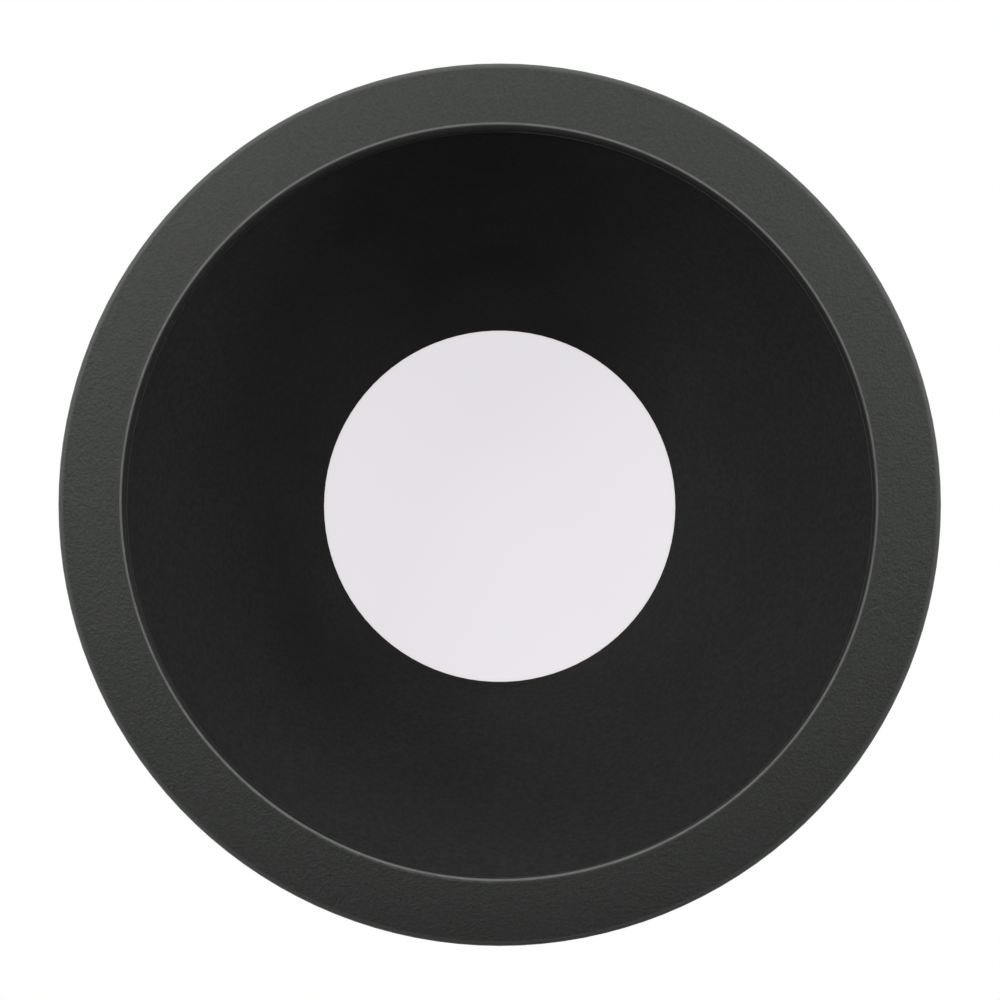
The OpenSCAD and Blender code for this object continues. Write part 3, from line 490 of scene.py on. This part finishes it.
def floor():
    """Pale floor under the face, seen from above only: a camera below looks through it."""
    mesh = bpy.data.meshes.new("floor")
    half, z = FLOOR_HALF, CREST_Z - FLOOR_GAP
    mesh.from_pydata([(-half, -half, z), (half, -half, z), (half, half, z), (-half, half, z)],
                     [], [(0, 1, 2, 3)])
    made = bpy.data.objects.new("floor", mesh)
    bpy.context.scene.collection.objects.link(made)
    material = bpy.data.materials.new("pale_floor")
    material.use_nodes = True
    tree = material.node_tree
    bsdf = tree.nodes["Principled BSDF"]
    bsdf.inputs["Base Color"].default_value = (0.86, 0.86, 0.86, 1)
    bsdf.inputs["Roughness"].default_value = 0.9
    bsdf.inputs["Specular IOR Level"].default_value = 0.1
    path = tree.nodes.new("ShaderNodeLightPath")
    place = tree.nodes.new("ShaderNodeTexCoord")
    away = tree.nodes.new("ShaderNodeVectorMath")
    away.operation = "LENGTH"
    tree.links.new(place.outputs["Object"], away.inputs[0])
    white = tree.nodes.new("ShaderNodeMapRange")
    for name, number in FLOOR_GLOW.items():
        white.inputs[name].default_value = number
    tree.links.new(away.outputs["Value"], white.inputs["Value"])
    lift = tree.nodes.new("ShaderNodeMath")
    lift.operation = "MULTIPLY"
    tree.links.new(path.outputs["Is Camera Ray"], lift.inputs[0])
    tree.links.new(white.outputs["Result"], lift.inputs[1])
    bsdf.inputs["Emission Color"].default_value = (1, 1, 1, 1)
    tree.links.new(lift.outputs[0], bsdf.inputs["Emission Strength"])
    clear = tree.nodes.new("ShaderNodeBsdfTransparent")
    side = tree.nodes.new("ShaderNodeNewGeometry")
    mix = tree.nodes.new("ShaderNodeMixShader")
    tree.links.new(side.outputs["Backfacing"], mix.inputs[0])
    tree.links.new(bsdf.outputs[0], mix.inputs[1])
    tree.links.new(clear.outputs[0], mix.inputs[2])
    tree.links.new(mix.outputs[0], tree.nodes["Material Output"].inputs["Surface"])
    mesh.materials.append(material)
    made.visible_diffuse = False
    made.visible_glossy = False
    made.visible_transmission = False
    made.visible_shadow = False


def world(level):
    """White where the camera, metal or glass sees it, and a soft grey light on everything else."""
    made = bpy.data.worlds.new("studio")
    bpy.context.scene.world = made
    made.use_nodes = True
    tree = made.node_tree
    tree.nodes.clear()
    path = tree.nodes.new("ShaderNodeLightPath")
    seen = tree.nodes.new("ShaderNodeMath")
    seen.operation = "MAXIMUM"
    both = tree.nodes.new("ShaderNodeMath")
    both.operation = "MAXIMUM"
    tree.links.new(path.outputs["Is Camera Ray"], seen.inputs[0])
    tree.links.new(path.outputs["Is Glossy Ray"], seen.inputs[1])
    tree.links.new(seen.outputs[0], both.inputs[0])
    tree.links.new(path.outputs["Is Transmission Ray"], both.inputs[1])
    soft = tree.nodes.new("ShaderNodeBackground")
    soft.inputs["Color"].default_value = (1, 1, 1, 1)
    soft.inputs["Strength"].default_value = level
    white = tree.nodes.new("ShaderNodeBackground")
    white.inputs["Color"].default_value = (1, 1, 1, 1)
    white.inputs["Strength"].default_value = 1.0
    mix = tree.nodes.new("ShaderNodeMixShader")
    out = tree.nodes.new("ShaderNodeOutputWorld")
    tree.links.new(both.outputs[0], mix.inputs[0])
    tree.links.new(soft.outputs[0], mix.inputs[1])
    tree.links.new(white.outputs[0], mix.inputs[2])
    tree.links.new(mix.outputs[0], out.inputs["Surface"])


def lamp(name, way, distance, size, level):
    """Soft lamp that lights a white surface facing it at the origin to level."""
    data = bpy.data.lights.new(name, "AREA")
    data.shape = "DISK"
    data.size = size
    data.energy = level * math.pi ** 2 * distance ** 2
    made = bpy.data.objects.new(name, data)
    bpy.context.scene.collection.objects.link(made)
    way = Vector(way).normalized()
    made.location = way * distance
    made.rotation_euler = way.to_track_quat("Z", "Y").to_euler()
    made.visible_camera = False
    return made


def below(clock, tilt):
    """Way to a lamp on the face's side, in degrees.

    clock turns clockwise from the picture's right, and tilt leans off the axis."""
    c, t = math.radians(clock), math.radians(tilt)
    return (-math.cos(c) * math.sin(t), -math.sin(c) * math.sin(t), -math.cos(t))


WORLD_LEVEL = 0.07
FACE_LAMP_AWAY = 1.0
FACE_LAMP_SIZE = 0.32
FACE_LAMPS = (
    # name, clock, tilt, level
    ("upper_left", 212, 50, 0.84),
    ("upper_right", 325, 50, 0.33),
    ("rim_upper_left", 230, 78, 0.22),
    ("rim_top", 270, 86, 0.14),
    ("rim_upper_right", 337, 76, 0.50),
)
ROOM_LAMPS = (
    # name, way, distance, size, level
    ("key", (0.75, -1.0, 1.0), 1.3, 1.8, 0.34),
    ("fill", (-1.0, 0.9, 0.7), 1.3, 1.8, 0.26),
    ("left_fill", (-0.9, -0.8, 0.5), 1.2, 1.5, 0.14),
    ("right_fill", (0.9, 0.8, 0.5), 1.2, 1.5, 0.14),
    ("top", (0.1, 0.2, 1.0), 1.3, 1.8, 0.24),
)

floor()
world(WORLD_LEVEL)
# The soffit would keep the light from below off everything behind the face.
face = bpy.data.collections.new("face")
for name in ("trim_ring", "baffle_cone", "lens", "lens_seal"):
    face.objects.link(frame["nodes"][name])
for name, clock, tilt, level in FACE_LAMPS:
    made = lamp(name, below(clock, tilt), FACE_LAMP_AWAY, FACE_LAMP_SIZE, level)
    made.light_linking.receiver_collection = face
for name, way, distance, size, level in ROOM_LAMPS:
    lamp(name, way, distance, size, level)


CAMERA_LENS = 237.5
CAMERA_EYE = Vector((0.056, -4.325, -824.4)) * MM
CAMERA_TARGET = Vector((-0.037, 0.566, -2.4)) * MM


def camera(eye, target):
    """Camera below the soffit, looking up, with +Y at the top of the picture."""
    data = bpy.data.cameras.new("camera")
    data.lens = CAMERA_LENS
    data.sensor_width = 36.0
    data.clip_start, data.clip_end = 0.01, 20.0
    made = bpy.data.objects.new("camera", data)
    bpy.context.scene.collection.objects.link(made)
    forward = (target - eye).normalized()
    right = forward.cross(Vector((0, 1, 0))).normalized()
    up = right.cross(forward)
    made.matrix_world = (Matrix.Translation(eye)
                         @ Matrix((right, up, -forward)).transposed().to_4x4())
    bpy.context.scene.camera = made


camera(CAMERA_EYE, CAMERA_TARGET)
bpy.context.scene.view_settings.view_transform = "Standard"
